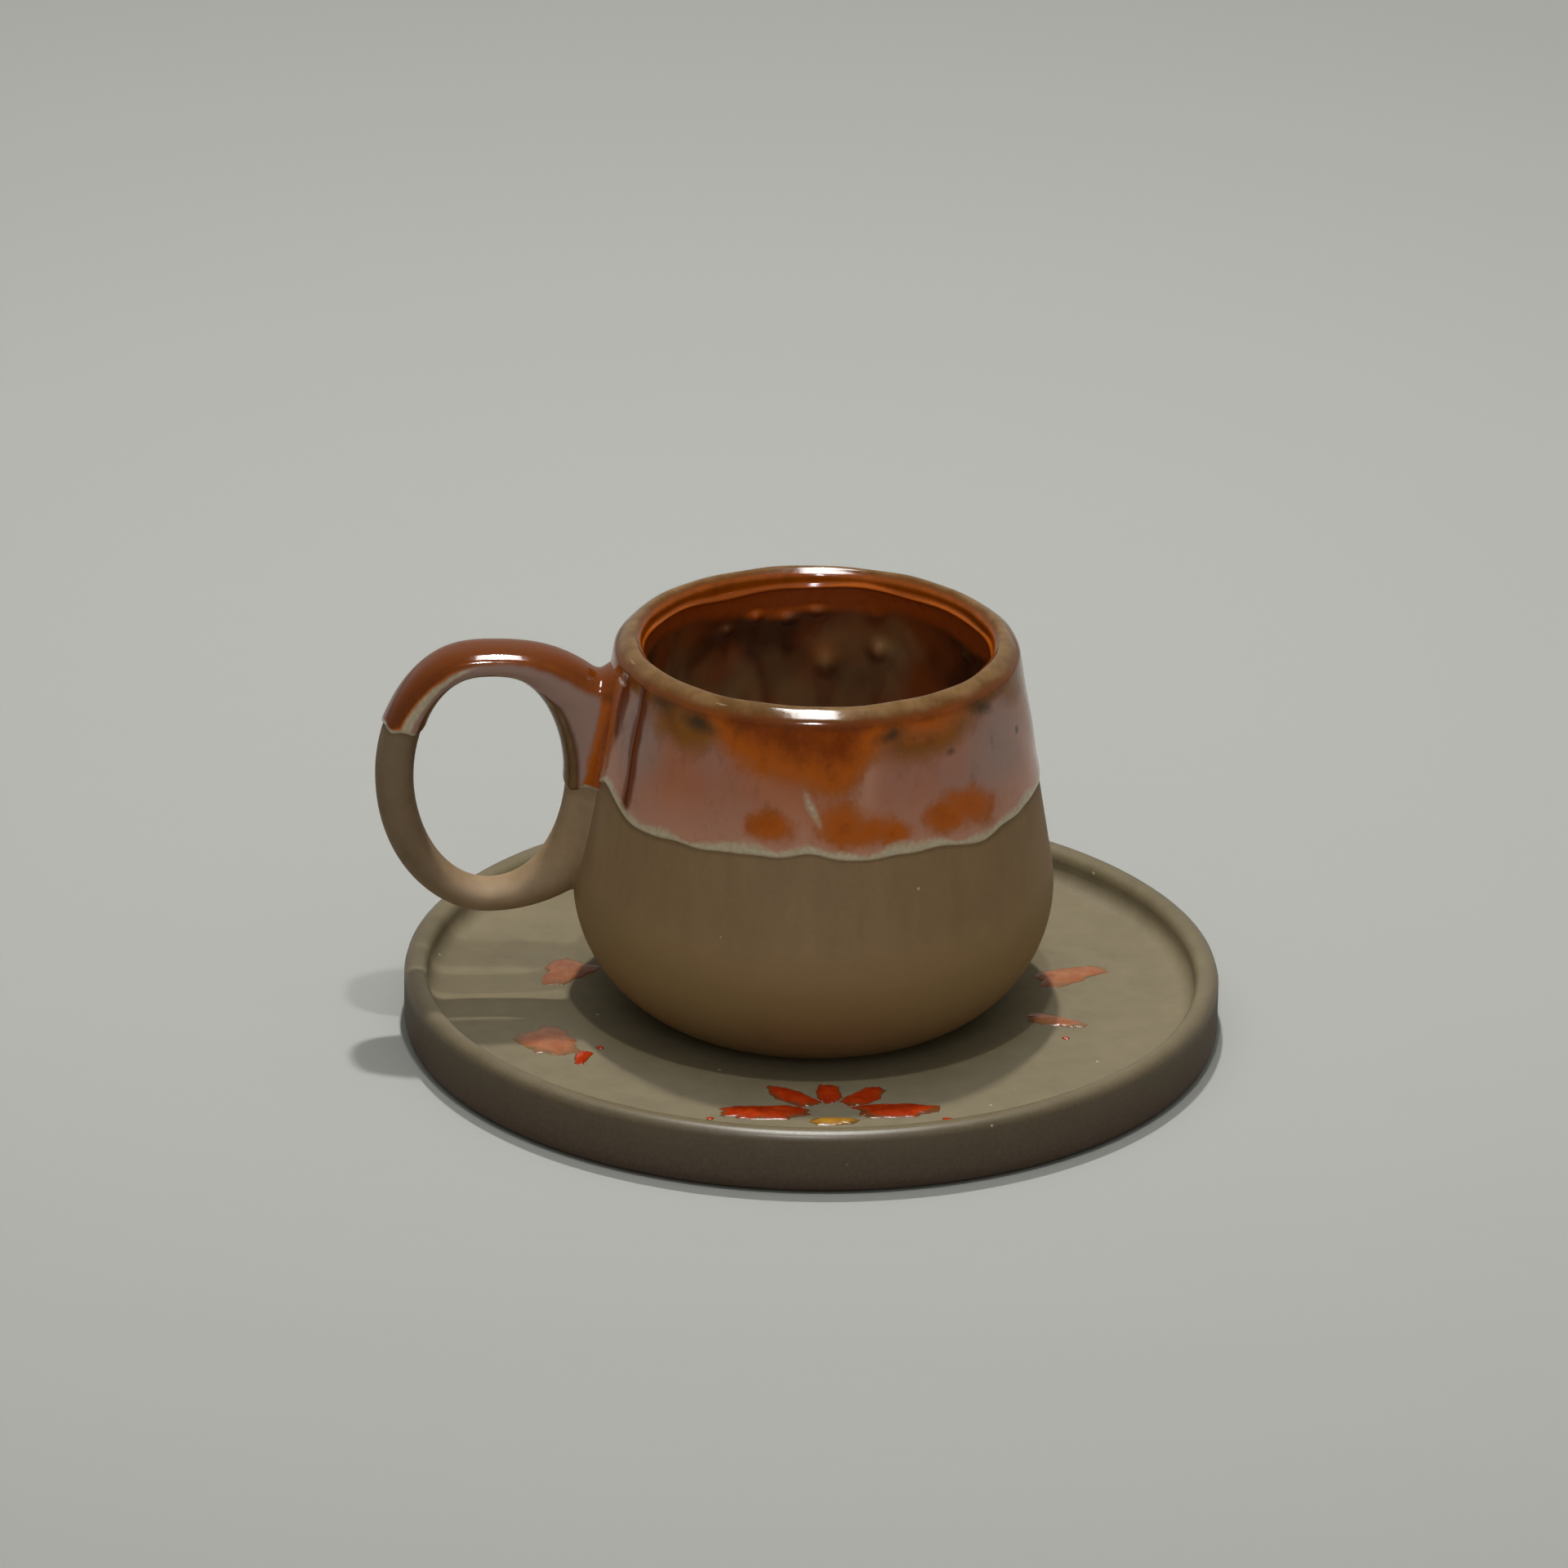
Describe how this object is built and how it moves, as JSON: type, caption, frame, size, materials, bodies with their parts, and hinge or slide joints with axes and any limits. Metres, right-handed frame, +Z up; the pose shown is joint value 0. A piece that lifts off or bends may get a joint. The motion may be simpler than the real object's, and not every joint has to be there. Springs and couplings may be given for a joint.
{
  "type": "turkish coffee cup and saucer",
  "caption": "Small round-bellied stoneware coffee cup with a luted ring handle and a dipped glaze, standing loose on a flat saucer with a low upright rim.",
  "frame": {"origin": "centre of the saucer's underside, in the plane of the table", "axes": "+Z up along the common axis of cup and saucer; the handle points along -X"},
  "size_m": [0.1244, 0.12, 0.062],
  "materials": {
    "stoneware": "matte unglazed",
    "rust_glaze": "glossy",
    "liner_glaze": "glossy",
    "red_glaze": "glossy",
    "salmon_glaze": "glossy",
    "amber_glaze": "glossy"
  },
  "bodies": {
    "saucer": {"saucer_body": "stoneware", "red_glaze_dabs": "red_glaze", "salmon_glaze_dabs": "salmon_glaze", "amber_glaze_dab": "amber_glaze"},
    "cup": {"cup_body": "stoneware", "ring_handle": "stoneware", "outer_glaze": "rust_glaze", "liner_glaze": "liner_glaze", "handle_glaze": "rust_glaze"}
  },
  "joints": [
    {"name": "cup_lift", "type": "slide", "parent": "saucer", "child": "cup", "axis": [0, 0, 1], "range_m": [0, 0.08]}
  ]
}
